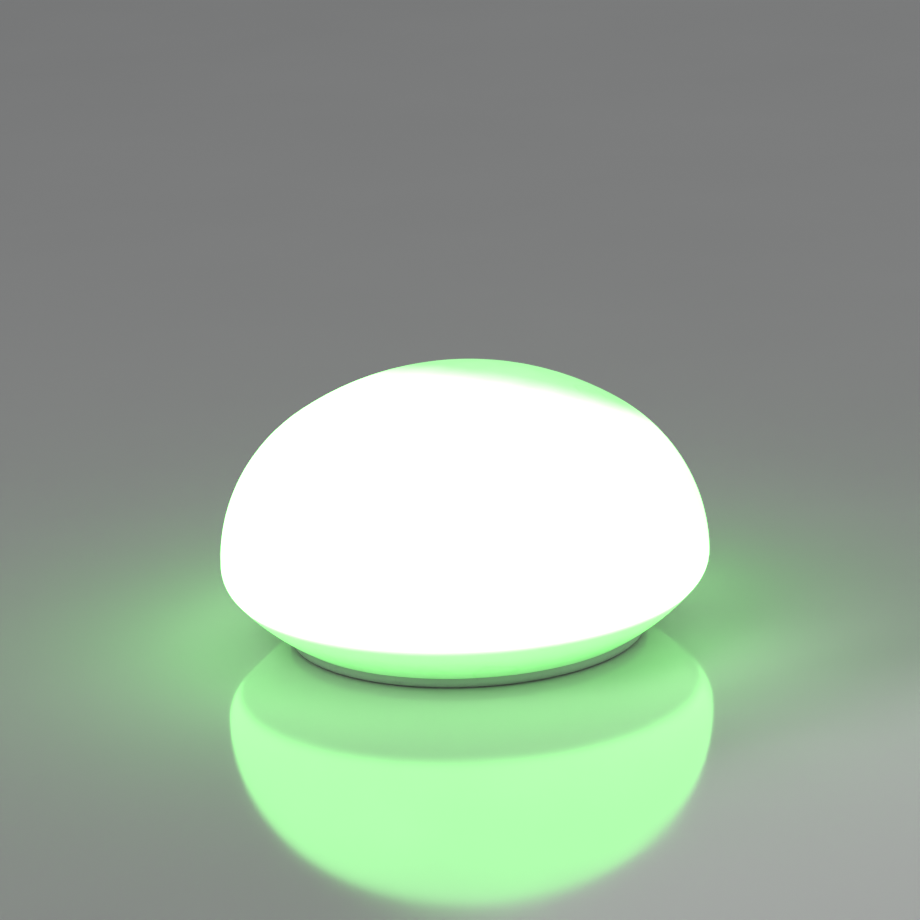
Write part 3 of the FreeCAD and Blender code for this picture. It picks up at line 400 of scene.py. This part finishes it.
# ---- floor, light and camera ----------------------------------------------------------------
def floor_material():
    """Pale lacquered floor, smooth enough to mirror the glow, and clear when seen from below."""
    g = Graph("floor", Specular_IOR_Level=0.5)
    g.set("Base Color", g.blend(g.noise(6.0, 3.0), (0.60, 0.60, 0.59), (0.64, 0.64, 0.63)))
    g.roughness(0.07, 0.10, 12.0)
    clear = g.node("BsdfTransparent").outputs[0]
    under = g.node("NewGeometry").outputs["Backfacing"]
    either = g.node("MixShader", Fac=under, i1=g.bsdf.outputs[0], i2=clear).outputs[0]
    g.feed(g.tree.nodes["Material Output"].inputs["Surface"], either)
    return g.material


def floor():
    """A wide plane with a hole under the light's foot, so that its underside can be lit and seen."""
    half = 6.0
    steps = 64
    hole_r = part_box("base_plate")[1][0] - 2.6 * MM  # just inside the foot's rounded edge
    below = 0.15 * MM
    mesh = bpy.data.meshes.new("floor")
    angles = [2 * math.pi * i / steps for i in range(steps)]
    inner = [(hole_r * math.cos(a), hole_r * math.sin(a), -below) for a in angles]
    outer = [(half * math.cos(a), half * math.sin(a), -below) for a in angles]
    rings = [(i, i + steps, (i + 1) % steps + steps, (i + 1) % steps) for i in range(steps)]
    mesh.from_pydata(inner + outer, [], rings)
    plane = bpy.data.objects.new("floor", mesh)
    bpy.context.scene.collection.objects.link(plane)
    mesh.materials.append(floor_material())


def area_light(name, place, size, power, target=(0, 0, 0.05)):
    lamp = bpy.data.lights.new(name, "AREA")
    lamp.shape = "DISK"
    lamp.size = size
    lamp.energy = power
    holder = bpy.data.objects.new(name, lamp)
    holder.location = place
    aim = Vector(target) - Vector(place)
    holder.rotation_euler = aim.to_track_quat("-Z", "Y").to_euler()
    bpy.context.scene.collection.objects.link(holder)


def studio():
    area_light("key", (-1.6, -1.4, 2.2), 1.8, 19.0)
    area_light("fill", (1.9, -1.0, 1.6), 2.0, 8.0)
    area_light("rear", (0.6, 2.2, 1.8), 2.0, 9.0)
    area_light("below", (-0.3, -0.4, -0.9), 0.7, 5.0, target=(0, 0, 0))
    world = bpy.data.worlds.new("studio")
    world.use_nodes = True
    background = world.node_tree.nodes["Background"]
    background.inputs["Color"].default_value = (0.85, 0.87, 0.90, 1.0)
    background.inputs["Strength"].default_value = 0.16
    bpy.context.scene.world = world


def camera():
    """Seen from a little above the float line, with a long lens, and rolled a little."""
    elevation = math.radians(17.3)
    roll = math.radians(2.4)
    distance = 1.5
    frame_width = 3.77 * R_WIDE  # width of the view at the light
    right_of_centre = 0.0054  # the widest ring's centre, in frame widths from the middle
    below_centre = 0.1011
    target = Vector((0, 0, WIDE_Z))
    lens = bpy.data.cameras.new("camera")
    lens.sensor_width = 36.0
    lens.lens = lens.sensor_width * distance / frame_width
    lens.clip_end = 50.0
    eye = bpy.data.objects.new("camera", lens)
    bpy.context.scene.collection.objects.link(eye)
    away = Vector((0, -math.cos(elevation), math.sin(elevation)))
    straight = (-away).to_track_quat("-Z", "Y").to_matrix()
    rolled = straight @ Matrix.Rotation(-roll, 3, "Z")
    scale = frame_width / distance
    seen = Vector((right_of_centre * scale, -below_centre * scale, -1.0)).normalized()
    swing = seen.rotation_difference(Vector((0, 0, -1))).to_matrix()
    turn = rolled @ swing
    eye.matrix_world = Matrix.Translation(target + away * distance) @ turn.to_4x4()
    bpy.context.scene.camera = eye


finishes = build_materials()
dress(finishes)
button_membrane(finishes["silicone"])
floor()
studio()
camera()
bpy.context.scene.view_settings.view_transform = "Standard"
